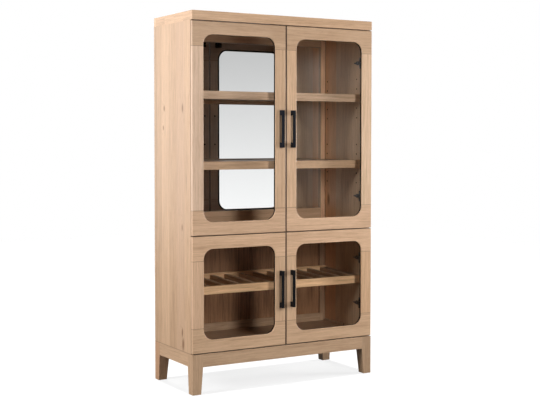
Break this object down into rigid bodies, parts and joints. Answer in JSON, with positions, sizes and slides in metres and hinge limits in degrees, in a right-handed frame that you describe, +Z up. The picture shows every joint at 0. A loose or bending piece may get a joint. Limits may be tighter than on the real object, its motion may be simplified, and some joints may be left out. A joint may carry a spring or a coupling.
{
  "type": "curio cabinet",
  "caption": "Tall wooden curio cabinet on short legs with glass doors above and below, a mirrored back, shelves and a wine rack.",
  "frame": {"origin": "on the floor, below the middle of the whole object's depth with the handles counted", "axes": "+X to the right as one faces the doors, +Y from the doors to the back, +Z up"},
  "size_m": [1.168, 0.525, 2.068],
  "materials": {
    "wood_front": "satin oiled brown",
    "wood_case": "satin light knotty boards",
    "wood_inside": "satin brown",
    "glass": "clear",
    "mirror": "silvered",
    "black_metal": "matt black powder coat",
    "steel": "nickel plated",
    "black_plastic": "matt"
  },
  "bodies": {
    "cabinet": {"top_panel": "wood_case", "left_side": "wood_case", "right_side": "wood_case", "middle_panel": "wood_inside", "bottom_panel": "wood_inside", "upper_back_rails": "wood_inside", "upper_back_stiles": "wood_inside", "mirror_panel": "mirror", "mirror_backboard": "wood_inside", "lower_back_rails": "wood_inside", "lower_back_stiles": "wood_inside", "lower_back_panel": "wood_inside", "upper_shelf": "wood_inside", "upper_shelf_lip": "wood_front", "lower_shelf": "wood_inside", "lower_shelf_lip": "wood_front", "shelf_pins": "steel", "rack_long_rails": "wood_front", "rack_end_rails": "wood_inside", "rack_slats": "wood_inside", "front_left_leg": "wood_front", "front_right_leg": "wood_front", "back_left_leg": "wood_case", "back_right_leg": "wood_case", "front_apron": "wood_front", "back_apron": "wood_case", "side_aprons": "wood_case", "base_cleats": "wood_inside", "foot_glides": "black_plastic", "hinge_arms": "steel", "door_catches": "black_plastic"},
    "upper_left_door": {"upper_left_rails": "wood_front", "upper_left_hinge_stile": "wood_front", "upper_left_inner_stile": "wood_front", "upper_left_glass": "glass", "upper_left_stops": "black_plastic", "upper_left_handle": "black_metal", "upper_left_fittings": "steel"},
    "upper_right_door": {"upper_right_rails": "wood_front", "upper_right_hinge_stile": "wood_front", "upper_right_inner_stile": "wood_front", "upper_right_glass": "glass", "upper_right_stops": "black_plastic", "upper_right_handle": "black_metal", "upper_right_fittings": "steel"},
    "lower_left_door": {"lower_left_rails": "wood_front", "lower_left_hinge_stile": "wood_front", "lower_left_inner_stile": "wood_front", "lower_left_glass": "glass", "lower_left_stops": "black_plastic", "lower_left_handle": "black_metal", "lower_left_fittings": "steel"},
    "lower_right_door": {"lower_right_rails": "wood_front", "lower_right_hinge_stile": "wood_front", "lower_right_inner_stile": "wood_front", "lower_right_glass": "glass", "lower_right_stops": "black_plastic", "lower_right_handle": "black_metal", "lower_right_fittings": "steel"}
  },
  "joints": [
    {"name": "upper_left_door_swing", "type": "hinge", "parent": "cabinet", "child": "upper_left_door", "pos_m": [-0.57589, -0.2215, 1.4385], "axis": [0, 0, -1], "range_deg": [0, 110]},
    {"name": "upper_right_door_swing", "type": "hinge", "parent": "cabinet", "child": "upper_right_door", "pos_m": [0.57589, -0.2215, 1.4385], "axis": [0, 0, 1], "range_deg": [0, 110]},
    {"name": "lower_left_door_swing", "type": "hinge", "parent": "cabinet", "child": "lower_left_door", "pos_m": [-0.57589, -0.2215, 0.542], "axis": [0, 0, -1], "range_deg": [0, 110]},
    {"name": "lower_right_door_swing", "type": "hinge", "parent": "cabinet", "child": "lower_right_door", "pos_m": [0.57589, -0.2215, 0.542], "axis": [0, 0, 1], "range_deg": [0, 110]}
  ]
}
